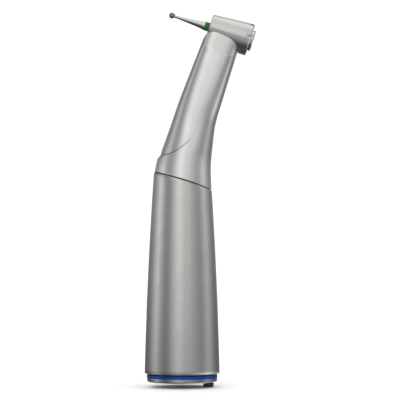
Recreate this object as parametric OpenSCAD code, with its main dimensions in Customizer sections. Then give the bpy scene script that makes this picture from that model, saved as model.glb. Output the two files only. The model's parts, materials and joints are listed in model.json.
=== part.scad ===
// Dental contra angle handpiece, 1:1 ratio, with a latch bur and inner light.
// Millimetres. Origin: centre of the rear face. +Z runs up the grip, the bur points to -X.

/* [Shape] */
// Radius of the grip sleeve at its rear edge
sleeve_radius = 10.06; // [9:0.02:11]
// Wall of the grip sleeve
sleeve_wall = 0.7; // [0.5:0.05:1.2]
// Bend between grip and neck, in degrees
bend_angle = 17.7; // [10:0.1:25]
// Tilt of the joint line between grip and elbow, in degrees
joint_tilt = 16.8; // [10:0.1:25]
// Height of the joint line on the grip's axis
joint_height = 53.6; // [50:0.1:60]
// Depth of the thumb recess on the front of the neck
recess_depth = 0.45; // [0:0.05:0.8]
// Wall of the elbow and neck
neck_wall = 0.65; // [0.5:0.05:1.2]

/* [Head] */
// Radius of the head at the bur end
head_front_radius = 3.67; // [3:0.01:4.5]
// Radius of the head at the cap end
head_rear_radius = 4.38; // [3.5:0.01:5]
// Travel of the push button
button_travel = 0.5; // [0.3:0.05:0.5]
// Diameter of the bur's shank
shank_diameter = 2.35; // [2.35]

/* [Drive] */
// Height where the grip and neck axes cross
bend_height = 55.6; // [54:0.1:58]
// Distance along the neck axis to the head axis
neck_length = 40.35; // [38:0.05:44]
// Teeth on each bend gear
bend_teeth = 12; // [10:1:14]
// Teeth on each head gear
head_teeth = 14; // [12:1:16]
// Radius of the socket for the motor's nose
socket_radius = 4.0; // [3.8:0.05:4.2]
// Radius of the socket's wide mouth
mouth_radius = 5.4; // [5.2:0.05:5.5]

/* [Hidden] */
$fn = 48;
rings_low = 3;
rings_step = 4;
rings_high = 24;
around = 48;
shank_r = shank_diameter / 2;
path_start = 51.5;
path_radius = 60;
path_tilt = 19.2;
path_bend = path_radius * path_tilt * PI / 180;
head_front = -5.1;
shell_end = 5.1;
plug_x = 7.04;
plug_stem_r = 0.8;
neck_top_w = 3.55;
spindle_r = 1.58;
neck_shaft_r = 1.2;
drive_shaft_r = 1.5;
bend_cone = (180 - bend_angle) / 2;
bend_heel = 3.2;
bend_toe = 2.1;
head_heel = 2.25 / sin(45);
head_toe = 1.8 / sin(45);
front_seat = [-4.35, -2.6];
rear_seat = [3.0, 4.7];
neck_low_seat = [3.9, 5.7];
neck_high_seat = [35.2, 36.9];
grip_low_seat = [29.5, 32.0];
grip_high_seat = [47.5, 50.0];

// ---- frames ----
module at_neck() translate([0, 0, bend_height]) rotate([0, bend_angle, 0]) children();
module at_head() at_neck() translate([0, 0, neck_length]) rotate([0, 90, 0]) children();
module at_joint() translate([0, 0, joint_height]) rotate([0, joint_tilt, 0]) children();
module along_neck(s, a, b) translate(point_at(s, a, b)) rotate([0, tilt_at(s), 0]) children();
module at_chamfer() translate([6.45, 0, 93.27]) rotate([0, -55.4, 0]) children();

// ---- helpers ----
module tube(r_out, r_in, z0, z1) difference() {
  translate([0, 0, z0]) cylinder(r = r_out, h = z1 - z0);
  translate([0, 0, z0 - 1]) cylinder(r = r_in, h = z1 - z0 + 2);
}
module rod(r, z0, z1) translate([0, 0, z0]) cylinder(r = r, h = z1 - z0);
module ring_of(n) for (i = [0 : n - 1]) rotate([0, 0, i * 360 / n]) children();

// Outer radius of the grip sleeve at a height
function sleeve_r(z) = sleeve_radius - 0.0195 * z - 0.00041 * z * z;

// Centre line of the grip, elbow and neck: s counts up from the start of the elbow
function tilt_at(s) = s < 0 ? 0 : s < path_bend ? s / path_radius * 180 / PI : path_tilt;
function centre_at(s) = s < 0 ? [0, path_start + s]
  : s < path_bend ? [path_radius * (1 - cos(tilt_at(s))), path_start + path_radius * sin(tilt_at(s))]
  : [path_radius * (1 - cos(path_tilt)) + (s - path_bend) * sin(path_tilt),
     path_start + path_radius * sin(path_tilt) + (s - path_bend) * cos(path_tilt)];
// Extra bow of the elbow to the back
function bow(s) = s < 5 || s > 24 ? 0 : 0.38 * pow(sin(180 * (s - 5) / 19), 2);
// A point across from the centre line: a to the back (+X), b to the side (Y)
function point_at(s, a, b) = let (c = centre_at(s), t = tilt_at(s), x = a + bow(s))
  [c[0] + x * cos(t), b, c[1] - x * sin(t)];
function smooth(t) = let (u = min(1, max(0, t))) u * u * (3 - 2 * u);

// Round radius of the elbow and neck
function neck_r(s) = 5.9 - 0.036 * (s - 20.6) + (s < 22 ? 0.65 * (1 + cos(180 * s / 22)) : 0);
// Half width across Y: the neck narrows into the head
function narrowing(s) = min(1, max(0, (s - 38.2) / 5.2));
function neck_w(s) = let (k = narrowing(s)) neck_r(s) * (1 - k) + neck_top_w * k;
// Depth of the thumb recess around the neck: q = 0 at the front
function recess_at(q) = recess_depth * smooth(0.55 + cos(q));
// Section of the neck at s and angle q, less a skin d; cut is 0 below the recess and 1 above it
function section_at(s, q, cut, d) = let (
    p = 2 + 1.3 * min(1, max(0, (s - 9) / 27)),
    c = cos(q), w = sin(q),
    len = pow(pow(abs(c), p) + pow(abs(w), p), -1 / p),
    r = neck_r(s) - d, h = neck_w(s) - d)
  point_at(s, -len * c * (r - cut * recess_at(q)), len * w * h);
// Place of the recess edge: lowest at the front, higher round the sides
function edge_at(q) = 8.1 + 4.4 * pow(1 - max(cos(q), -0.4), 2.4);
// Half length of the step at the recess edge: long at the front, sharp round the sides
function step_at(q) = 0.26 + 0.8 * smooth((cos(q) - 0.72) / 0.28);
function joint_target(s, q, up) = joint_height + up / cos(joint_tilt)
  - tan(joint_tilt) * section_at(s, q, 0, 0)[0];
function solve_joint(s, q, up, n) = n == 0 ? s
  : solve_joint(s + 0.8 * (joint_target(s, q, up) - section_at(s, q, 0, 0)[2]), q, up, n - 1);

// Closed skin through rings of points, each ring with the same count
module skin(rings) {
  n = len(rings[0]);
  m = len(rings);
  pts = [for (r = rings) for (p = r) p];
  polyhedron(points = pts, convexity = 6, faces = concat(
    [for (i = [0 : m - 2]) for (j = [0 : n - 1]) let (k = (j + 1) % n)
      [i * n + j, (i + 1) * n + k, (i + 1) * n + j]],
    [for (i = [0 : m - 2]) for (j = [0 : n - 1]) let (k = (j + 1) % n)
      [i * n + j, i * n + k, (i + 1) * n + k]],
    [[for (j = [n - 1 : -1 : 0]) j]],
    [[for (j = [0 : n - 1]) (m - 1) * n + j]]));
}
// Small round tube or rod along a row of points
module run_along(path, r, sides) {
  m = len(path);
  skin([for (i = [0 : m - 1]) let (
      t = path[min(i + 1, m - 1)] - path[max(i - 1, 0)],
      d = t / norm(t),
      e = cross([0, 1, 0], d) / norm(cross([0, 1, 0], d)),
      f = cross(d, e))
    [for (j = [0 : sides - 1]) path[i] + r * (cos(-360 * j / sides) * e + sin(-360 * j / sides) * f)]]);
}

// Bevel gear with its apex at the origin and its body towards +Z
module bevel_gear(n, cone, toe, heel, add, ded, half, flank, bore, back) {
  root = cone - atan(ded / heel);
  k = toe / heel;
  difference() {
    union() {
      rotate_extrude() polygon([
        [bore, toe * cos(root)], [toe * sin(root), toe * cos(root)],
        [heel * sin(root), heel * cos(root)], [heel * sin(root), back], [bore, back]]);
      for (i = [0 : n - 1]) rotate([0, 0, i * 360 / n]) rotate([0, cone, 0])
        translate([0, 0, toe]) linear_extrude(height = heel - toe, scale = heel / toe)
          polygon([for (p = [
            [-ded - 0.06, half + (ded + 0.06) * tan(flank)], [-ded - 0.06, -half - (ded + 0.06) * tan(flank)],
            [add, -half + add * tan(flank)], [add, half - add * tan(flank)]]) p * k]);
    }
    rod(bore, -1, back + 1);
  }
}

// Ball bearing pieces between z0 and z1
module bearing_outer(bore, od, seat) {
  mid = (bore + od) / 2;
  ball = (od - bore) * 0.27;
  difference() {
    tube(od, od - (od - bore) * 0.3, seat[0], seat[1]);
    translate([0, 0, (seat[0] + seat[1]) / 2]) rotate_extrude() translate([mid, 0]) circle(r = ball + 0.03);
  }
}
module bearing_inner(bore, od, seat) {
  mid = (bore + od) / 2;
  ball = (od - bore) * 0.27;
  difference() {
    tube(bore + (od - bore) * 0.3, bore, seat[0], seat[1]);
    translate([0, 0, (seat[0] + seat[1]) / 2]) rotate_extrude() translate([mid, 0]) circle(r = ball + 0.03);
  }
}
module bearing_balls(bore, od, seat, n) {
  mid = (bore + od) / 2;
  ball = (od - bore) * 0.27;
  z = (seat[0] + seat[1]) / 2;
  wide = (od - bore) * 0.12;
  tube(mid + wide, mid - wide, z - ball * 0.55, z + ball * 0.55);
  ring_of(n) translate([mid, 0, z]) sphere(r = ball);
}

// ---- rear end ----
module rear_ring() color("silver") difference() {
  rotate_extrude() polygon([[6.3, 0], [9.0, 0], [9.15, 0.04], [9.28, 0.14], [9.35, 0.3],
    [9.35, 1.05], [6.3, 1.05]]);
  translate([plug_x, 0, -1]) cylinder(r = plug_stem_r, h = 3);
  for (q = [120, 240]) rotate([0, 0, q]) translate([7.7, 0, -1]) cylinder(r = 0.45, h = 3);
}
module ratio_ring() color("royalblue") rotate_extrude()
  polygon([[8.6, 1.05], [9.42, 1.05], [9.42, 1.85], [9.15, 2.15], [8.6, 2.15]]);
module coupling_body() color("gainsboro") difference() {
  union() {
    rod(6.3, 0, 10);
    rod(8.6, 1.05, 2.25);
    translate([0, 0, 2.25])
      cylinder(r1 = sleeve_r(2.25) - sleeve_wall, r2 = sleeve_r(5) - sleeve_wall, h = 2.75);
    rod(5.4, 10, 27);
  }
  rod(mouth_radius, -1, 8);
  rod(socket_radius, 7, 19);
  rod(3.0, 18, 26);
  rod(2.6, 25, 28);
  translate([plug_x, 0, 0]) cylinder(r = plug_stem_r, h = 3.5);
  translate([plug_x, 0, 3]) cylinder(r = 0.6, h = 3);
  for (q = [120, 240]) rotate([0, 0, q]) translate([7.7, 0, 0.5]) cylinder(r = 0.45, h = 5);
  tube(5.8, 5.0, 5.6, 6.2);
  for (z = [11, 16]) translate([0, 0, z]) rotate_extrude() translate([4.35, 0]) circle(r = 0.33);
}
module snap_ring() color("dimgray") difference() {
  tube(5.79, 5.43, 5.62, 6.18);
  translate([-7, -0.8, 5]) cube([4, 1.6, 2]);
}
module socket_seal(z) color("black")
  translate([0, 0, z]) rotate_extrude() translate([4.35, 0]) circle(r = 0.32);
module socket_seal_rear() socket_seal(11);
module socket_seal_front() socket_seal(16);
module light_plug() color("black") translate([plug_x, 0, 0]) union() {
  translate([0, 0, -1.45]) cylinder(r1 = 1.2, r2 = 1.4, h = 0.2);
  rod(1.4, -1.25, 0);
  rod(plug_stem_r, 0, 3.5);
}

// ---- grip ----
module grip_sleeve() color("lightgray") difference() {
  rotate_extrude() polygon(concat(
    [for (z = [2.25, 6, 12, 18, 24, 30, 36, 42, 47, 52, 58]) [sleeve_r(z), z]],
    [[6.85, 58], [6.85, 46]],
    [for (z = [44, 40, 34, 28, 22, 16, 10, 5, 2.25]) [sleeve_r(z) - sleeve_wall, z]]));
  at_joint() translate([-20, -20, -0.12]) cube([40, 40, 20]);
}
module joint_collar() color("silver") difference() {
  tube(6.85, 6.55, 46, 60);
  at_joint() translate([-20, -20, 0.7]) cube([40, 40, 20]);
}
module joint_seal() color("black") difference() {
  tube(7.52, 6.85, 50, 60);
  at_joint() translate([-20, -20, 0.12]) cube([40, 40, 20]);
  at_joint() translate([-20, -20, -20.12]) cube([40, 40, 20]);
}
module bearing_carrier() color("silver") difference() {
  union() { rod(5.4, 27, 28.5); rod(4.4, 28.5, 51.5); }
  rod(2.6, 26, 29.5);
  rod(3.4, 29.5, 32.0);
  rod(3.1, 32.0, 47.5);
  rod(3.4, 47.5, 52);
}
module carrier_nut() color("dimgray") difference() {
  tube(3.4, 2.7, 50, 51.5);
  for (q = [0, 90]) rotate([0, 0, q]) translate([-4, -0.5, 51]) cube([8, 1, 1]);
}

// ---- elbow and neck ----
module neck_outer() skin(concat(
  [for (i = [0 : rings_low]) [for (j = [0 : around - 1]) let (q = 360 * j / around,
    s0 = solve_joint(3, q, 0.16, 14), s1 = edge_at(q) - step_at(q))
    section_at(s0 + (s1 - s0) * i / rings_low, q, 0, 0.06)]],
  [for (i = [1 : rings_step]) [for (j = [0 : around - 1]) let (q = 360 * j / around, k = i / rings_step)
    section_at(edge_at(q) + step_at(q) * (2 * k - 1), q, smooth(k), 0.06 * (1 - k))]],
  [for (i = [1 : rings_high]) [for (j = [0 : around - 1]) let (q = 360 * j / around,
    s1 = edge_at(q) + step_at(q), k = i / rings_high)
    section_at(s1 + (44.9 - s1) * (k * 0.7 + 0.3 * k * k), q, 1, 0)]]));
module neck_inner() skin(
  [for (i = [0 : 14]) [for (j = [0 : 31]) let (q = 360 * j / 32)
    section_at(1 + 35.3 * i / 14, q, 1, neck_wall + 0.35 * smooth((i - 6) / 8))]]);
module neck_shell() color("lightgray") difference() {
  neck_outer();
  neck_inner();
  at_head() translate([0, 0, head_front])
    cylinder(r1 = head_front_radius, r2 = head_rear_radius + 0.02, h = 10.4);
  at_neck() rod(3.05, 28, 35);
  at_neck() rod(3.3, 34.55, 42);
  at_chamfer() translate([-10, -10, 0]) cube([20, 20, 10]);
  rod(6.85, 44, 57.5);
  at_chamfer() window_form(0.02);
  nozzle_holes();
  along_neck(34, -3.43, 0) cylinder(r = 0.68, h = 7.3);
  for (y = [-2.1, 2.1]) along_neck(34, -3.06, y) cylinder(r = 0.66, h = 6.9);
}
module nozzle_holes()
  for (y = [-1.85, 1.85]) at_chamfer() translate([-0.65, y, -0.72]) cylinder(r = 0.39, h = 2);
module window_form(gap) translate([-0.55, 0, -1 - gap]) {
  for (y = [-0.7, 0.7]) translate([0, y, 0]) cylinder(r = 0.5 + gap, h = 1 + 3 * gap);
  translate([-0.5 - gap, -0.7, 0]) cube([1 + 2 * gap, 1.4, 1 + 3 * gap]);
}
module light_window() color("lightcyan") at_chamfer() window_form(0);
light_path = [for (i = [0 : 30]) let (s = -48.0 + (40.55 + 48.0) * i / 30,
    q = 180 * smooth((s + 42) / 28),
    rho = plug_x - 1.14 * smooth((s + 44) / 24) - 2.6 * smooth((s - 2) / 22) + 0.25 * smooth((s - 34) / 6))
  point_at(s, rho * cos(q), rho * sin(q))];
module light_rod() color("lightcyan") run_along(light_path, 0.5, 10);
function pipe_path(side) = [for (i = [0 : 24]) let (s = -46.8 + (40.6 + 46.8) * i / 24,
    q = 120 + 20 * smooth(s / 30) + 8 * smooth((s - 32) / 8),
    rho = 7.7 - 1.8 * smooth((s + 44) / 40) - 2.3 * smooth((s - 2) / 28) + 0.2 * smooth((s - 34) / 6))
  point_at(s, rho * cos(q), side * rho * sin(q))];
module thin_pipe(side) run_along(pipe_path(side), 0.42, 8);
module water_tube() color("steelblue") thin_pipe(1);
module air_tube() color("silver") thin_pipe(-1);
module nozzle(y) at_chamfer() translate([-0.65, y, 0]) difference() {
  rod(0.38, -0.7, -0.05);
  rod(0.18, -1.5, 1);
}
module water_nozzle() color("gray") nozzle(1.85);
module air_nozzle() color("gray") nozzle(-1.85);
module neck_tube() color("silver") at_neck() difference() {
  rod(3.0, 3.0, 34.6);
  rod(2.2, 2, 40);
  rod(2.8, 3.9, 5.7);
  rod(2.6, 2, 3.95);
}
module neck_spacer() color("gray") at_neck() difference() {
  translate([-1.0, 0, 20]) cylinder(r = 4.4, h = 1.2);
  rod(3.0, 19, 22);
  translate([-5.6, -6, 19]) cube([3.2, 12, 4]);
}

// ---- head ----
module head_outer() rotate_extrude() polygon([
  [0, head_front], [head_front_radius - 0.2, head_front],
  [head_front_radius - 0.06, head_front + 0.05], [head_front_radius, head_front + 0.2],
  [head_rear_radius, shell_end], [0, shell_end]]);
module head_shell() color("lightgray") difference() {
  at_head() union() { head_outer(); rotate([0, 90, 0]) rod(3.3, 0, 5.75); }
  at_head() {
    rod(1.75, -6, 0);
    rod(2.8, front_seat[0], front_seat[1]);
    rod(2.98, front_seat[1], rear_seat[0]);
    rod(3.0, rear_seat[0], rear_seat[1]);
    rod(3.75, rear_seat[1], 6);
    rotate([0, 90, 0]) rod(2.5, 0, 4);
    rotate([0, 90, 0]) rod(2.8, 3.4, 5.2);
    rotate([0, 90, 0]) rod(2.6, 3, 7);
  }
  at_chamfer() window_form(0.02);
  nozzle_holes();
}
module front_seal() color("dimgray") at_head() tube(1.75, 1.64, -4.9, -4.4);
module head_cap() color("silver") at_head() difference() {
  union() {
    rod(3.75, 4.75, 5.1);
    translate([0, 0, 5.14]) cylinder(r1 = head_rear_radius - 0.02, r2 = head_rear_radius, h = 1.11);
    rod(3.75, 5.05, 5.2);
    translate([0, 0, 6.25]) cylinder(r1 = head_rear_radius, r2 = head_rear_radius - 0.2, h = 0.2);
  }
  rod(3.3, 4, 5.75);
  rod(2.9, 5, 8);
  ring_of(6) rotate([0, 0, 30]) translate([3.62, -0.45, 5.45]) cube([2, 0.9, 2]);
}
module push_button() color("gainsboro") at_head() difference() {
  union() {
    rod(2.85, 5.35, 7.1);
    translate([0, 0, 7.1]) cylinder(r1 = 2.85, r2 = 2.7, h = 0.15);
    rod(3.22, 5.35, 5.65);
  }
  rod(2.45, 5, 6.6);
  rod(2.3, 7.15, 8);
}
module release_cone() color("gold") at_head() difference() {
  union() { translate([0, 0, 5.5]) cylinder(r1 = 1.28, r2 = 1.6, h = 0.7); rod(2.0, 6.2, 6.6); }
  rod(1.22, 5, 6.45);
}
module button_spring() color("dimgray") at_head() rotate_extrude()
  polygon([[2.55, 4.72], [2.68, 4.72], [3.18, 5.32], [3.05, 5.32]]);

// ---- chuck and bur ----
module chuck_spindle() color("silver") at_head() difference() {
  union() { rod(spindle_r, -4.75, 4.9); rod(1.9, 4.72, 4.9); rod(1.62, -4.75, -4.4); }
  difference() {
    rod(shank_r + 0.03, -5, 6);
    translate([-3, -2, 3.5]) cube([2.1, 4, 3]);
  }
  translate([0, 0, -4.76]) cylinder(r1 = 1.35, r2 = shank_r + 0.03, h = 0.25);
}
module claw() union() {
  translate([-0.8, shank_r + 0.02, 4.95]) cube([1.6, 0.8, 0.4]);
  translate([-0.45, 1.8, 4.95]) cube([0.9, 0.25, 0.4]);
}
module claw_left() color("goldenrod") at_head() claw();
module claw_right() color("goldenrod") at_head() rotate([0, 0, 180]) claw();
module bur() color("silver") at_head() union() {
  difference() {
    rotate_extrude() polygon([
      [0, -15.6], [0.3, -15.5], [0.3, -15.0], [0.5, -12.4], [1.13, -6.8], [shank_r, -6.5],
      [shank_r, 4.9], [0.85, 5.0], [0.85, 5.3], [shank_r, 5.4], [shank_r, 5.75], [1.05, 5.9], [0, 5.9]]);
    translate([-3, -2, 3.3]) cube([2.15, 4, 4]);
  }
  difference() {
    translate([0, 0, -15.82]) sphere(r = 0.82);
    ring_of(8) translate([0.62, 0, -15.82]) rotate([28, 0, 0])
      translate([0, -0.045, -1]) cube([0.5, 0.09, 2]);
  }
}
module bur_band() color("green") at_head() tube(shank_r + 0.045, shank_r, -6.5, -5.15);
module spindle_gear() color("goldenrod") at_head() rotate([0, 0, 180 / head_teeth])
  bevel_gear(head_teeth, 45, head_toe, head_heel, 0.2, 0.27, 0.225, 22, spindle_r, 2.95);
module head_pinion() color("goldenrod") at_neck() translate([0, 0, neck_length]) rotate([180, 0, 0])
  bevel_gear(head_teeth, 45, head_toe, head_heel, 0.2, 0.27, 0.225, 22, 0.9, 3.2);

// ---- shafts ----
module drive_shaft() color("silver") union() {
  rod(1.2, 22.6, 28);
  rod(drive_shaft_r, 27.0, 54.9);
  rod(1.9, 27.0, 29.3);
}
module bend_gear_lower() color("goldenrod") translate([0, 0, bend_height]) rotate([180, 0, 0])
  bevel_gear(bend_teeth, bend_cone, bend_toe, bend_heel, 0.26, 0.34, 0.36, 24, drive_shaft_r, 2.6);
module bend_gear_upper() color("goldenrod") at_neck() rotate([0, 0, 180 / bend_teeth])
  bevel_gear(bend_teeth, bend_cone, bend_toe, bend_heel, 0.26, 0.34, 0.36, 24, neck_shaft_r, 2.6);
module neck_shaft() color("silver") at_neck() union() {
  rod(neck_shaft_r, 0.95, 36.95);
  rod(0.9, 36.9, 38.3);
  rod(1.6, 5.75, 7.2);
}
module drive_dog() color("gray") difference() {
  rod(2.4, 19.3, 24.3);
  rod(1.25, 21.0, 25);
  translate([-3, -0.75, 19]) cube([6, 1.5, 1.7]);
  rod(0.6, 18, 22);
}
module dog_spring() color("dimgray") run_along(
  [for (i = [0 : 64]) [1.65 * cos(i * 22.5), 1.65 * sin(i * 22.5), 24.52 + 2.28 * i / 64]], 0.17, 7);

// ---- bearings ----
module grip_low_outer() color("gray") bearing_outer(drive_shaft_r, 3.4, grip_low_seat);
module grip_low_inner() color("gray") bearing_inner(drive_shaft_r, 3.4, grip_low_seat);
module grip_low_balls() color("silver") bearing_balls(drive_shaft_r, 3.4, grip_low_seat, 8);
module grip_high_outer() color("gray") bearing_outer(drive_shaft_r, 3.4, grip_high_seat);
module grip_high_inner() color("gray") bearing_inner(drive_shaft_r, 3.4, grip_high_seat);
module grip_high_balls() color("silver") bearing_balls(drive_shaft_r, 3.4, grip_high_seat, 8);
module neck_low_outer() color("gray") at_neck() bearing_outer(neck_shaft_r, 2.8, neck_low_seat);
module neck_low_inner() color("gray") at_neck() bearing_inner(neck_shaft_r, 2.8, neck_low_seat);
module neck_low_balls() color("silver") at_neck() bearing_balls(neck_shaft_r, 2.8, neck_low_seat, 7);
module neck_high_outer() color("gray") at_neck() bearing_outer(neck_shaft_r, 2.8, neck_high_seat);
module neck_high_inner() color("gray") at_neck() bearing_inner(neck_shaft_r, 2.8, neck_high_seat);
module neck_high_balls() color("silver") at_neck() bearing_balls(neck_shaft_r, 2.8, neck_high_seat, 7);
module front_outer() color("gray") at_head() bearing_outer(spindle_r, 2.8, front_seat);
module front_inner() color("gray") at_head() bearing_inner(spindle_r, 2.8, front_seat);
module front_balls() color("silver") at_head() bearing_balls(spindle_r, 2.8, front_seat, 9);
module rear_outer() color("gray") at_head() bearing_outer(spindle_r, 3.0, rear_seat);
module rear_inner() color("gray") at_head() bearing_inner(spindle_r, 3.0, rear_seat);
module rear_balls() color("silver") at_head() bearing_balls(spindle_r, 3.0, rear_seat, 9);

rear_ring();
ratio_ring();
coupling_body();
snap_ring();
socket_seal_rear();
socket_seal_front();
grip_sleeve();
light_plug();
light_rod();
light_window();
water_tube();
air_tube();
bearing_carrier();
carrier_nut();
joint_collar();
joint_seal();
neck_shell();
neck_tube();
neck_spacer();
head_shell();
head_cap();
front_seal();
water_nozzle();
air_nozzle();
grip_low_outer();
grip_high_outer();
neck_low_outer();
neck_high_outer();
front_outer();
rear_outer();
drive_shaft();
bend_gear_lower();
grip_low_inner();
grip_high_inner();
drive_dog();
dog_spring();
neck_shaft();
bend_gear_upper();
head_pinion();
neck_low_inner();
neck_high_inner();
chuck_spindle();
spindle_gear();
front_inner();
rear_inner();
grip_low_balls();
grip_high_balls();
neck_low_balls();
neck_high_balls();
front_balls();
rear_balls();
claw_left();
claw_right();
push_button();
release_cone();
button_spring();
bur();
bur_band();
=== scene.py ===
import json
import math

import bmesh
import bpy
from mathutils import Matrix, Vector


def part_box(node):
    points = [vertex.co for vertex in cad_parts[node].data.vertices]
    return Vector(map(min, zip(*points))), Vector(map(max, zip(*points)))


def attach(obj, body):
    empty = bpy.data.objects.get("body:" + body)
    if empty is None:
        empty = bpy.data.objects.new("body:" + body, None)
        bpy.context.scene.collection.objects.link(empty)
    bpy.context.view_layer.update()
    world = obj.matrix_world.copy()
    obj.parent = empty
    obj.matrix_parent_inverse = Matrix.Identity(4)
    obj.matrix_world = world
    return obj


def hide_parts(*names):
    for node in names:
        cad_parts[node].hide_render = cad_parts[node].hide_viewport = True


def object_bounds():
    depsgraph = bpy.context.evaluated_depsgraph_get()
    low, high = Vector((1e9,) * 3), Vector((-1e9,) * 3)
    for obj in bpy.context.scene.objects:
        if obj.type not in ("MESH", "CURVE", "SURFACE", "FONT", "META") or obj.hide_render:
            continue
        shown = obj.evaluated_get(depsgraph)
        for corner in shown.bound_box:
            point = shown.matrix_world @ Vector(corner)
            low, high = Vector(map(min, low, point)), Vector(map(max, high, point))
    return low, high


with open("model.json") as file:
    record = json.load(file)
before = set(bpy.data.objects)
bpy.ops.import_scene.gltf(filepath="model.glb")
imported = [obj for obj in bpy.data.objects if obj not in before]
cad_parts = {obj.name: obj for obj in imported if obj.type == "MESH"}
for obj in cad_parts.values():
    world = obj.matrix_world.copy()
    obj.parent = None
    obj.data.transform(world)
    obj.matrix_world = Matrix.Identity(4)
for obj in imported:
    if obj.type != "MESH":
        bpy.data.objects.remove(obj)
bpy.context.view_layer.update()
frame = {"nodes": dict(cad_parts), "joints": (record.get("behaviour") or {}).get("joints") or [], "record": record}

MM = 0.001
nodes, joints = frame["nodes"], {j["name"]: j for j in frame["joints"]}


# ---------------------------------------------------------------- frames
def rad(d):
    return math.radians(d)


neck_axis = Vector(joints["neck_spin"]["axis"]).normalized()
head_axis = Vector(joints["chuck_spin"]["axis"]).normalized()
bend_at = Vector(joints["neck_spin"]["pos_m"])
head_at = Vector(joints["chuck_spin"]["pos_m"])
HEAD = Matrix((
    (-neck_axis.x, 0, head_axis.x, head_at.x),
    (-neck_axis.y, 1, head_axis.y, head_at.y),
    (-neck_axis.z, 0, head_axis.z, head_at.z),
    (0, 0, 0, 1)))
NECK = Matrix((
    (head_axis.x, 0, neck_axis.x, bend_at.x),
    (head_axis.y, 1, neck_axis.y, bend_at.y),
    (head_axis.z, 0, neck_axis.z, bend_at.z),
    (0, 0, 0, 1)))
WORLD = Matrix.Identity(4)
SLEEVE_Z0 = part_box("grip_sleeve")[0][2] / MM
# The slanted face under the head, where the light window and the two jets are
CHAMFER = Matrix.Translation((6.45 * MM, 0, 93.27 * MM)) @ Matrix.Rotation(rad(-55.4), 4, "Y")

# Sizes in millimetres and degrees, as in the CAD source
JOINT_H, JOINT_TILT, RECESS = 53.6, 16.8, 0.45
PATH_START, PATH_R, PATH_TILT = 51.5, 60.0, 19.2
NECK_TOP_W = 3.55
SLEEVE_WALL, SLEEVE_BORE = 0.7, 6.85
SLEEVE_GAP, NECK_GAP = 0.12, 0.16
SHANK_R = 1.175
PATH_BEND = PATH_R * rad(PATH_TILT)


def smooth(t):
    u = min(1.0, max(0.0, t))
    return u * u * (3 - 2 * u)


def sleeve_r(z):
    return 10.06 - 0.0195 * z - 0.00041 * z * z


def tilt_at(s):
    """Tilt of the outer shape's centre line at length s from the start of the bend."""
    return 0.0 if s < 0 else s / PATH_R if s < PATH_BEND else rad(PATH_TILT)


def centre_at(s):
    if s < 0:
        return 0.0, PATH_START + s
    if s < PATH_BEND:
        a = tilt_at(s)
        return PATH_R * (1 - math.cos(a)), PATH_START + PATH_R * math.sin(a)
    a = rad(PATH_TILT)
    return (PATH_R * (1 - math.cos(a)) + (s - PATH_BEND) * math.sin(a),
            PATH_START + PATH_R * math.sin(a) + (s - PATH_BEND) * math.cos(a))


def bow(s):
    """Shift of the neck's section towards the back, above the joint."""
    return 0.38 * math.sin(math.pi * (s - 5) / 19) ** 2 if 5 < s < 24 else 0.0


def point_at(s, a, b):
    c, t = centre_at(s), tilt_at(s)
    a += bow(s)
    return Vector((c[0] + a * math.cos(t), b, c[1] - a * math.sin(t)))


def neck_r(s):
    """Half of the neck's depth, in the plane of the bend."""
    return 5.9 - 0.036 * (s - 20.6) + (0.65 * (1 + math.cos(math.pi * s / 22)) if s < 22 else 0)


def narrowing(s):
    """0 on the neck, 1 at the head."""
    return min(1.0, max(0.0, (s - 38.2) / 5.2))


def neck_w(s):
    """Half of the neck's width, across the plane of the bend."""
    k = narrowing(s)
    return neck_r(s) * (1 - k) + NECK_TOP_W * k


def recess_at(q):
    """Depth of the thumb recess at angle q from the front."""
    return RECESS * smooth(0.55 + math.cos(q))


def section_at(s, q, cut, d=0.0):
    """A point of the neck's outside, set in by d. cut is how much of the recess applies, 0 to 1."""
    p = 2 + 1.3 * min(1.0, max(0.0, (s - 9) / 27))
    c, w = math.cos(q), math.sin(q)
    n = (abs(c) ** p + abs(w) ** p) ** (-1 / p)
    return point_at(s, -n * c * (neck_r(s) - d - cut * recess_at(q)), n * w * (neck_w(s) - d))


def edge_at(q):
    """Where the recess begins."""
    return 8.1 + 4.4 * (1 - max(math.cos(q), -0.4)) ** 2.4


def step_at(q):
    """Half the length of the recess's ramp."""
    return 0.26 + 0.8 * smooth((math.cos(q) - 0.72) / 0.28)


def joint_s(q, up):
    """Length along the neck where its side meets the joint plane, raised by up."""
    s = 3.0
    for _ in range(14):
        p = section_at(s, q, 0)
        s += 0.8 * (JOINT_H + up / math.cos(rad(JOINT_TILT)) - math.tan(rad(JOINT_TILT)) * p.x - p.z)
    return s


# ---------------------------------------------------------------- meshes
def make(name, verts, faces, matrix=WORLD, angle=30, shade=None):
    """A mesh from points in millimetres. shade gives each point an amount of painted shade, read by a shaded
    material.
    """
    mesh = bpy.data.meshes.new(name)
    mesh.from_pydata([matrix @ (Vector(v) * MM) for v in verts], [], faces)
    if shade:
        mesh.attributes.new("shade", "FLOAT", "POINT").data.foreach_set("value", shade)
    bm = bmesh.new()
    bm.from_mesh(mesh)
    bmesh.ops.remove_doubles(bm, verts=bm.verts, dist=1e-7)
    bmesh.ops.recalc_face_normals(bm, faces=bm.faces)
    bm.to_mesh(mesh)
    bm.free()
    for f in mesh.polygons:
        f.use_smooth = True
    mesh.set_sharp_from_angle(angle=rad(angle))
    obj = bpy.data.objects.new(name, mesh)
    bpy.context.scene.collection.objects.link(obj)
    return obj


def grid(rings, cap=True):
    """Joins rings of points into a tube, with its two ends capped."""
    n = len(rings[0])
    verts = [p for r in rings for p in r]
    faces = [(i * n + j, i * n + (j + 1) % n, (i + 1) * n + (j + 1) % n, (i + 1) * n + j)
             for i in range(len(rings) - 1) for j in range(n)]
    if cap:
        faces += [tuple(range(n - 1, -1, -1)), tuple((len(rings) - 1) * n + j for j in range(n))]
    return verts, faces


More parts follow.
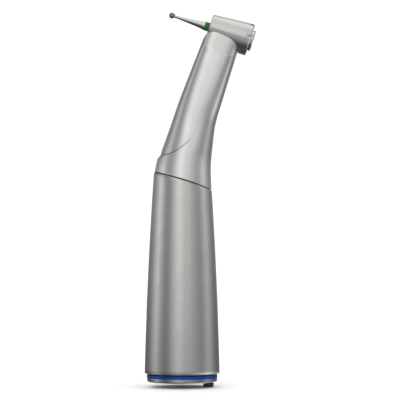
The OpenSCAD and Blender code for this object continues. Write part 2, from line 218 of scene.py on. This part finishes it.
def lathe(name, profile, matrix=WORLD, seg=128, angle=30, shape=None):
    """Turns a profile of (radius, height) round the matrix's z axis. shape(r, z, turn) can move a point."""
    verts, faces, n = [], [], len(profile)
    for j in range(seg):
        t = 2 * math.pi * j / seg
        for r, z in profile:
            if shape:
                r, z = shape(r, z, t)
            verts.append((r * math.cos(t), r * math.sin(t), z))
    for j in range(seg):
        k = (j + 1) % seg
        for i in range(n):
            m = (i + 1) % n
            a, b, c, d = j * n + i, j * n + m, k * n + m, k * n + i
            if profile[i][0] < 1e-9 and profile[m][0] < 1e-9:
                continue
            faces.append((a, b, c, d))
    return make(name, verts, faces, matrix, angle)


def cut(obj, *cutters):
    """Takes the cutters away from the piece and deletes them."""
    for c in cutters:
        m = obj.modifiers.new("cut", "BOOLEAN")
        m.operation, m.solver, m.object = "DIFFERENCE", "EXACT", c
    dg = bpy.context.evaluated_depsgraph_get()
    mesh = bpy.data.meshes.new_from_object(obj.evaluated_get(dg))
    obj.modifiers.clear()
    obj.data = mesh
    for f in mesh.polygons:
        f.use_smooth = True
    mesh.set_sharp_from_angle(angle=rad(28))
    for c in cutters:
        bpy.data.objects.remove(c)
    return obj


def box_mesh(name, lo, hi, matrix):
    v = [(x, y, z) for x in (lo[0], hi[0]) for y in (lo[1], hi[1]) for z in (lo[2], hi[2])]
    f = [(0, 1, 3, 2), (4, 6, 7, 5), (0, 4, 5, 1), (2, 3, 7, 6), (0, 2, 6, 4), (1, 5, 7, 3)]
    return make(name, v, f, matrix)


def stadium(name, half, r, z0, z1, matrix, n=24):
    """A slot shape with round ends, long in y."""
    ring = []
    for i in range(n + 1):
        t = math.pi * i / n
        ring.append((-0.55 + r * math.cos(t), half + r * math.sin(t)))
    for i in range(n + 1):
        t = math.pi + math.pi * i / n
        ring.append((-0.55 + r * math.cos(t), -half + r * math.sin(t)))
    v, f = grid([[(x, y, z) for x, y in ring] for z in (z0, z1)])
    return make(name, v, f, matrix)


# ---------------------------------------------------------------- materials
def material(name, slot_colour, colour2=None, metallic=0.0, rough=(0.3, 0.4), grain=0.0, grain_size=0.12,
             patch=0.5, transmission=0.0, streak=None, shaded=False):
    """Two close colours mixed by fine and wide noise, with roughness and grain. Sizes are in millimetres."""
    m = bpy.data.materials.new(name)
    m.use_nodes = True
    t = m.node_tree
    t.nodes.clear()
    out = t.nodes.new("ShaderNodeOutputMaterial")
    b = t.nodes.new("ShaderNodeBsdfPrincipled")
    t.links.new(b.outputs[0], out.inputs[0])
    b.inputs["Metallic"].default_value = metallic
    b.inputs["Transmission Weight"].default_value = transmission
    co = t.nodes.new("ShaderNodeTexCoord")
    where = co.outputs["Object"]
    if streak:
        mp = t.nodes.new("ShaderNodeMapping")
        mp.inputs["Scale"].default_value = streak
        t.links.new(where, mp.inputs["Vector"])
        where = mp.outputs[0]

    def noise(size, detail=4, roughness=0.55):
        n = t.nodes.new("ShaderNodeTexNoise")
        n.inputs["Scale"].default_value = 1 / (size * MM)
        n.inputs["Detail"].default_value = detail
        n.inputs["Roughness"].default_value = roughness
        t.links.new(where, n.inputs["Vector"])
        return n.outputs["Fac"]

    fine, wide = noise(grain_size), noise(patch * 10, 3)
    mix = t.nodes.new("ShaderNodeMix")
    mix.data_type = "RGBA"
    ramp = t.nodes.new("ShaderNodeMapRange")
    ramp.inputs["From Min"].default_value, ramp.inputs["From Max"].default_value = 0.3, 0.7
    add = t.nodes.new("ShaderNodeMath")
    add.operation = "ADD"
    half = t.nodes.new("ShaderNodeMath")
    half.operation = "MULTIPLY"
    half.inputs[1].default_value = 0.5
    t.links.new(fine, add.inputs[0])
    t.links.new(wide, add.inputs[1])
    t.links.new(add.outputs[0], half.inputs[0])
    t.links.new(half.outputs[0], ramp.inputs["Value"])
    t.links.new(ramp.outputs[0], mix.inputs["Factor"])
    mix.inputs["A"].default_value = (*slot_colour, 1)
    second = colour2 or [c * 0.9 for c in slot_colour]
    mix.inputs["B"].default_value = (*second, 1)
    colour = mix.outputs["Result"]
    # Painted shade: the mesh's shade attribute darkens the colour towards dark grey
    if shaded:
        at, dark = t.nodes.new("ShaderNodeAttribute"), t.nodes.new("ShaderNodeMix")
        at.attribute_name, dark.data_type = "shade", "RGBA"
        dark.inputs["B"].default_value = (0.12, 0.12, 0.12, 1)
        t.links.new(at.outputs["Fac"], dark.inputs["Factor"])
        t.links.new(colour, dark.inputs["A"])
        colour = dark.outputs["Result"]
    t.links.new(colour, b.inputs["Base Color"])
    rr = t.nodes.new("ShaderNodeMapRange")
    rr.inputs["From Min"].default_value, rr.inputs["From Max"].default_value = 0.3, 0.7
    rr.inputs["To Min"].default_value, rr.inputs["To Max"].default_value = rough
    t.links.new(wide, rr.inputs["Value"])
    t.links.new(rr.outputs[0], b.inputs["Roughness"])
    if grain:
        bump = t.nodes.new("ShaderNodeBump")
        bump.inputs["Strength"].default_value = grain
        bump.inputs["Distance"].default_value = 0.02 * MM
        t.links.new(fine, bump.inputs["Height"])
        t.links.new(bump.outputs[0], b.inputs["Normal"])
    return m


STEEL_SATIN, STEEL_NECK = ((0.61, 0.605, 0.59), (0.54, 0.535, 0.52)), ((0.745, 0.74, 0.725), (0.685, 0.68, 0.665))
BLUE, GREEN = ((0.02, 0.075, 0.40), (0.015, 0.06, 0.33)), ((0.012, 0.12, 0.012), (0.01, 0.09, 0.01))
GLASS = ((0.92, 0.95, 0.96), (0.88, 0.92, 0.94))
RUBBER, PLUG = (0.012, 0.012, 0.013), (0.014, 0.014, 0.016)
M = {
    "satin_steel": material("satin_steel", *STEEL_SATIN, 1.0, (0.24, 0.29), 0.2, 0.10, 0.6),
    "neck_steel": material("neck_steel", *STEEL_NECK, 1.0, (0.26, 0.31), 0.2, 0.10, 0.6, shaded=True),
    "bright_steel": material("bright_steel", (0.62, 0.62, 0.61), None, 1.0, (0.09, 0.14), 0.1, 0.08, 0.4),
    # A darker steel colour for the bur's ball: painted shade standing in for the shade in its flutes
    "cutter_painted_shade": material("cutter_painted_shade", (0.30, 0.30, 0.30), None, 1.0, (0.16, 0.22), 0.1, 0.08, 0.4),
    "ball_steel": material("ball_steel", (0.8, 0.8, 0.8), None, 1.0, (0.06, 0.1), 0.0),
    "gear_steel": material("gear_steel", (0.5, 0.47, 0.42), None, 1.0, (0.25, 0.35), 0.2, 0.07),
    "blue_ring": material("blue_ring", *BLUE, 0.75, (0.24, 0.32), 0.2, 0.06),
    "green_band": material("green_band", *GREEN, 0.2, (0.25, 0.35), 0.2, 0.05),
    "black_rubber": material("black_rubber", RUBBER, None, 0.0, (0.5, 0.65), 0.4, 0.08),
    "black_plug": material("black_plug", PLUG, None, 0.0, (0.3, 0.42), 0.3, 0.08),
    "glass": material("glass", *GLASS, 0.0, (0.04, 0.08), 0.0, transmission=0.85),
    "aluminium": material("aluminium", (0.6, 0.6, 0.6), None, 1.0, (0.25, 0.35), 0.2, 0.08, streak=(1, 1, 10)),
    "tube_steel": material("tube_steel", (0.66, 0.66, 0.66), None, 1.0, (0.2, 0.3), 0.15, 0.08),
    "spring_steel": material("spring_steel", (0.28, 0.28, 0.28), None, 1.0, (0.25, 0.35), 0.15, 0.06),
}
slot_of = {s["node"]: s["material_slot"] for s in frame["record"]["subparts"]}
for name, obj in nodes.items():
    obj.data.materials.clear()
    obj.data.materials.append(M[slot_of[name]])


def finish_piece(obj, mat, body, *replaced):
    obj.data.materials.clear()
    obj.data.materials.append(M[mat])
    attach(obj, body)
    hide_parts(*replaced)


# ---------------------------------------------------------------- grip sleeve
def sleeve():
    """The grip's closed shell: foot, outside, slanted top, bore and inner wall."""
    seg, rows = 192, 60
    k, c = math.tan(rad(JOINT_TILT)), math.cos(rad(JOINT_TILT))

    def top(q, inset, drop):
        z = 50.0
        for _ in range(20):
            z = JOINT_H - (SLEEVE_GAP + drop) / c - k * (sleeve_r(z) - inset) * math.cos(q)
        return z

    turn = [2 * math.pi * j / seg for j in range(seg)]

    def ring(inset, level):
        return [((sleeve_r(z) - inset) * math.cos(q), (sleeve_r(z) - inset) * math.sin(q), z)
                for q in turn for z in (level(q),)]

    rings = [ring(SLEEVE_WALL, lambda q: SLEEVE_Z0), ring(0.14, lambda q: SLEEVE_Z0),
             ring(0.05, lambda q: SLEEVE_Z0 + 0.02), ring(0.0, lambda q: SLEEVE_Z0 + 0.08)]
    rings += [ring(0.0, lambda q, i=i: SLEEVE_Z0 + 0.08 + (top(q, 0, 0.1) - SLEEVE_Z0 - 0.08) * i / rows)
              for i in range(1, rows + 1)]
    rings += [ring(0.03, lambda q: top(q, 0.03, 0.03)), ring(0.10, lambda q: top(q, 0.1, 0.0)),
              ring(0.70, lambda q: top(q, 0.7, 0.0))]
    bore = [(SLEEVE_BORE * math.cos(q), SLEEVE_BORE * math.sin(q)) for q in turn]
    rings += [[(x, y, JOINT_H - SLEEVE_GAP / c - k * x) for x, y in bore], [(x, y, 46) for x, y in bore]]
    rings += [ring(SLEEVE_WALL, lambda q, z=z: z) for z in (44, 40, 34, 28, 22, 16, 10, 5, SLEEVE_Z0)]
    v, f = grid(rings, cap=False)
    return make("sleeve_skin", v, f, angle=50)


finish_piece(sleeve(), "satin_steel", "housing", "grip_sleeve")


# ---------------------------------------------------------------- elbow and neck
def neck():
    """Elbow and neck in one skin: a fine joint edge, the thumb recess, and cuts for the head and the jets."""
    seg, low_rows, ramp_rows, high_rows = 192, 24, 16, 100
    lift, crown = 0.06, 44.9
    turn = [2 * math.pi * j / seg for j in range(seg)]
    low = {q: joint_s(q, NECK_GAP) for q in turn}
    rings = [[section_at(low[q] + 0.25, q, 0, 2.5) for q in turn],
             [section_at(low[q], q, 0, 0.62) for q in turn],
             [section_at(low[q], q, 0, 0.12) for q in turn],
             [section_at(low[q] + 0.10, q, 0, lift) for q in turn]]
    for i in range(1, low_rows + 1):
        rings.append([section_at(low[q] + 0.1 + (edge_at(q) - step_at(q) - low[q] - 0.1) * i / low_rows,
                                 q, 0, lift) for q in turn])
    plain = len(rings)
    for i in range(1, ramp_rows + 1):
        t = i / ramp_rows
        rings.append([section_at(edge_at(q) + step_at(q) * (2 * t - 1), q, smooth(t * 1.3),
                                 lift + 0.5 * recess_at(q) * math.sin(math.pi * t) ** 2 * t) for q in turn])
    for i in range(1, high_rows + 1):
        k = i / high_rows
        rings.append([section_at(edge_at(q) + step_at(q)
                                 + (crown - edge_at(q) - step_at(q)) * (k * 0.7 + 0.3 * k * k),
                                 q, 1, lift * smooth(1 - 2.5 * k)) for q in turn])
    v, f = grid(rings)

    def painted_recess_shade(i, q):
        """Painted shade along the recess's edge, darkest at the side and less where its ramp is long."""
        if not 2 < i < 15:
            return 0.0
        return 0.17 / step_at(q) * smooth(0.3 + 2 * math.cos(q)) * smooth(1.5 * math.sin(math.pi * (i - 2) / 13))

    # Painted shade: the recess's ramp rings get a darkness that the neck material mixes into its colour
    shade = [0.0] * (plain * seg) + [painted_recess_shade(i, q) for i in range(ramp_rows) for q in turn]
    shade += [0.0] * (len(v) - len(shade))
    body = make("neck_skin", v, f, angle=40, shade=shade)
    # An odd number of sides keeps the head's cutter off the skin's own points
    head = lathe("c1", [(0, -5.1), (3.47, -5.1), (3.61, -5.05), (3.67, -4.9), (4.39, 5.1), (0, 5.1)], HEAD, 161)
    slab = box_mesh("c2", (-10, -10, 0), (10, 10, 10), CHAMFER)
    pocket = stadium("c3", 0.7, 0.52, -0.5, 1.0, CHAMFER)
    holes = []
    for y in (-1.85, 1.85):
        holes.append(lathe("c4", [(0, -0.6), (0.39, -0.6), (0.39, 1), (0, 1)],
                           CHAMFER @ Matrix.Translation((-0.65 * MM, y * MM, 0)), 32))
    bore = lathe("c5", [(0, -12), (4.3, -12), (4.3, 8), (3.05, 10), (3.05, 34.55), (3.3, 34.55), (3.3, 42),
                        (0, 42)], NECK, 97)
    return cut(body, head, slab, pocket, *holes, bore)


finish_piece(neck(), "neck_steel", "housing", "neck_shell")


# ---------------------------------------------------------------- bur
FLAT_FROM, FLAT_AT = 3.302, 0.85
BALL_R, BALL_Z, BALL_END, TEETH = 0.82, -15.82, -15.2, 8


def bur():
    """A round bur: toothed ball, slim neck, shank, and the groove and flat of a latch at the rear end."""
    def flute(r, z, t):
        """Cuts the ball's eight teeth, and the latch flat at the shank's rear end."""
        if z > FLAT_FROM and math.cos(t) < 0:
            return min(r, FLAT_AT / -math.cos(t)), z
        up = (z - BALL_Z) / BALL_R
        if z > BALL_END or r < 0.02:
            return r, z
        twist = t * TEETH / (2 * math.pi) + up * 0.55
        tooth = twist - math.floor(twist)
        depth = 0.15 * (1 - abs(up)) ** 0.35 * (1 - tooth) ** 1.6
        return r * (1 - depth), BALL_Z + (z - BALL_Z) * (1 - depth * 0.3)

    ball = [(BALL_R * math.sin(math.pi * i / 30), BALL_Z - BALL_R * math.cos(math.pi * i / 30))
            for i in range(1, 26)]
    neck_part = [(0.40, -15.08), (0.38, -14.9), (0.40, -14.3), (0.46, -13.3), (0.54, -12.2), (0.65, -10.9),
                 (0.78, -9.5), (0.94, -8.1), (1.08, -7.1), (1.14, -6.75), (SHANK_R, -6.5)]
    latch = [(SHANK_R, 3.3), (SHANK_R, 3.305), (SHANK_R, 4.9), (0.85, 5.0), (0.85, 5.3), (SHANK_R, 5.4),
             (SHANK_R, 5.75), (1.05, 5.9), (0, 5.9)]
    profile = [(0, BALL_Z - BALL_R)] + ball + neck_part + latch
    return lathe("bur_skin", profile, HEAD, 192, 24, flute)


bur_skin = bur()
finish_piece(bur_skin, "bright_steel", "bur", "bur")
# Painted shade: the ball's faces take the darker colour
bur_skin.data.materials.append(M["cutter_painted_shade"])
ball_top = HEAD @ Vector((0, 0, -15.1 * MM))
for f in bur_skin.data.polygons:
    if (f.center - ball_top).dot(head_axis) < 0:
        f.material_index = 1


# ---------------------------------------------------------------- stage, light, camera
FLOOR_HALF, FLOOR_DEEP = 4000, 50
floor_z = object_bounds()[0][2]
floor = box_mesh("floor", (-FLOOR_HALF, -FLOOR_HALF, -FLOOR_DEEP), (FLOOR_HALF, FLOOR_HALF, 0),
                 Matrix.Translation((0, 0, floor_z)))
floor.data.materials.append(material("floor", (0.95, 0.95, 0.95), (0.94, 0.94, 0.94), 0, (0.8, 0.9), 0, 1, 2))
floor.visible_glossy = False

target = Vector((4.78 * MM, 0, 48.6 * MM))


def area(name, azimuth, height, distance, size, power):
    """A soft box that lights only what isn't a mirror. Azimuth 0 is at the camera, positive to its left."""
    a = rad(azimuth)
    d = bpy.data.lights.new(name, "AREA")
    d.shape, d.size, d.size_y, d.energy = "RECTANGLE", size[0], size[1], power
    o = bpy.data.objects.new(name, d)
    o.location = (-math.sin(a) * distance, -math.cos(a) * distance, height)
    aim = Vector((0, 0, 0.055)) - Vector(o.location)
    o.rotation_euler = aim.to_track_quat("-Z", "Y").to_euler()
    o.visible_glossy = False
    bpy.context.scene.collection.objects.link(o)


area("key", 17, 0.30, 0.75, (0.5, 0.5), 1.6)
area("fill", -70, 0.30, 0.75, (0.5, 0.5), 0.8)
area("back", 165, 0.35, 0.75, (0.6, 0.5), 0.8)


def studio():
    """Long soft boxes and dark flags stand round the object, and only metal and glass see them.

    flags: brightness by azimuth from the front, positive to the right. levels: by elevation. The rest makes
    the front darker near the ground, and the sides darker low down, but not under the neck's right side.
    """
    flags = ((-180, 0.62), (-164, 0.32), (-142, 0.24), (-122, 0.32), (-106, 0.60), (-90, 0.93), (-74, 0.52),
             (-62, 0.31), (-50, 0.29), (-40, 0.46), (-28, 0.85), (-12, 1.22), (-2, 1.12), (10, 0.84), (24, 0.88),
             (36, 0.60), (50, 0.42), (66, 0.30), (80, 0.50), (93, 0.68), (108, 0.42), (130, 0.22), (158, 0.28),
             (180, 0.62))
    levels = ((-90, 0.10), (-60, 0.16), (-40, 0.45), (-22, 1.02), (-13, 0.92), (-5, 0.72), (3, 0.88), (9, 1.03),
              (20, 0.95), (42, 0.98), (56, 1.02), (70, 1.25), (90, 1.10))
    world = bpy.data.worlds.new("studio")
    bpy.context.scene.world = world
    world.use_nodes = True
    t = world.node_tree
    t.nodes.clear()

    def node(kind, **inputs):
        n = t.nodes.new("ShaderNode" + kind)
        for key, value in inputs.items():
            if hasattr(value, "is_output"):
                t.links.new(value, n.inputs[int(key[1:])])
            else:
                n.inputs[int(key[1:])].default_value = value
        return n

    def math_node(operation, a, b):
        n = node("Math", _0=a, _1=b)
        n.operation = operation
        return n.outputs[0]

    def ranged(value, lo, hi, to_lo, to_hi, smoothly=False):
        n = node("MapRange", _0=value, _1=lo, _2=hi, _3=to_lo, _4=to_hi)
        n.interpolation_type = "SMOOTHSTEP" if smoothly else "LINEAR"
        return n.outputs[0]

    way = node("SeparateXYZ", _0=node("TexCoord").outputs["Generated"])
    turn = math_node("ARCTAN2", way.outputs[0], math_node("MULTIPLY", way.outputs[1], -1.0))
    ramp = t.nodes.new("ShaderNodeValToRGB")
    ramp.color_ramp.interpolation = "EASE"
    stops = ramp.color_ramp.elements
    while len(stops) < len(flags):
        stops.new(0.5)
    for stop, (azimuth, level) in zip(stops, flags):
        stop.position = (azimuth + 180) / 360
        stop.color = (level, level, level, 1)
    t.links.new(ranged(turn, -math.pi, math.pi, 0, 1), ramp.inputs[0])
    height = t.nodes.new("ShaderNodeValToRGB")
    height.color_ramp.interpolation = "EASE"
    stops = height.color_ramp.elements
    while len(stops) < len(levels):
        stops.new(0.5)
    for stop, (elevation, level) in zip(stops, levels):
        stop.position = (math.sin(rad(elevation)) + 1) / 2
        stop.color = (level, level, level, 1)
    t.links.new(ranged(way.outputs[2], -1, 1, 0, 1), height.inputs[0])
    near_pole = ranged(math_node("ABSOLUTE", way.outputs[2], 0.0), 0.72, 0.97, 0.0, 1.0, True)
    blend = t.nodes.new("ShaderNodeMix")
    blend.data_type = "RGBA"
    t.links.new(near_pole, blend.inputs["Factor"])
    t.links.new(ramp.outputs[0], blend.inputs["A"])
    blend.inputs["B"].default_value = (0.85, 0.85, 0.85, 1)
    front = ranged(math_node("ABSOLUTE", turn, 0.0), 0.35, 1.1, 1.0, 0.0, True)
    ground = ranged(way.outputs[2], -0.14, 0.14, 0.5, 0.0, True)
    shade = math_node("SUBTRACT", 1.0, math_node("MULTIPLY", front, ground))
    left = ranged(turn, -1.25, -0.95, 1.0, 0.0, True)
    upper = ranged(way.outputs[2], 0.16, 0.40, 0.0, 0.40, True)
    tilt = ranged(way.outputs[2], -0.12, 0.12, 0.62, 1.30, True)
    right = ranged(turn, 0.25, 0.8, 0.0, 1.0, True)
    under = ranged(way.outputs[2], -0.27, -0.04, 1.5, 0.0, True)
    tilt = math_node("ADD", tilt, math_node("MULTIPLY", right, under))
    side = math_node("MULTIPLY", math_node("SUBTRACT", 1.0, front), math_node("SUBTRACT", tilt, 1.0))
    shade = math_node("MULTIPLY", shade, math_node("ADD", 1.0, side))
    shade = math_node("MULTIPLY", shade, math_node("SUBTRACT", 1.0, math_node("MULTIPLY", left, upper)))
    rise = math_node("MULTIPLY", height.outputs[0], shade)
    seen = node("LightPath")
    bands = node("Background", _0=blend.outputs["Result"], _1=rise)
    even = node("Background", _0=(1, 1, 1, 1), _1=1.1)
    mix = node("MixShader", _0=seen.outputs["Is Glossy Ray"], _1=even.outputs[0], _2=bands.outputs[0])
    t.links.new(mix.outputs[0], t.nodes.new("ShaderNodeOutputWorld").inputs[0])


studio()

cam = bpy.data.cameras.new("camera")
cam.lens, cam.sensor_width = 120.4, 36
cam.clip_start, cam.clip_end = 0.01, 20
camera = bpy.data.objects.new("camera", cam)
camera.location = (target.x, -0.36, 0.026)
camera.rotation_euler = (target - camera.location).to_track_quat("-Z", "Y").to_euler()
bpy.context.scene.collection.objects.link(camera)
bpy.context.scene.camera = camera
bpy.context.scene.view_settings.view_transform = "Standard"
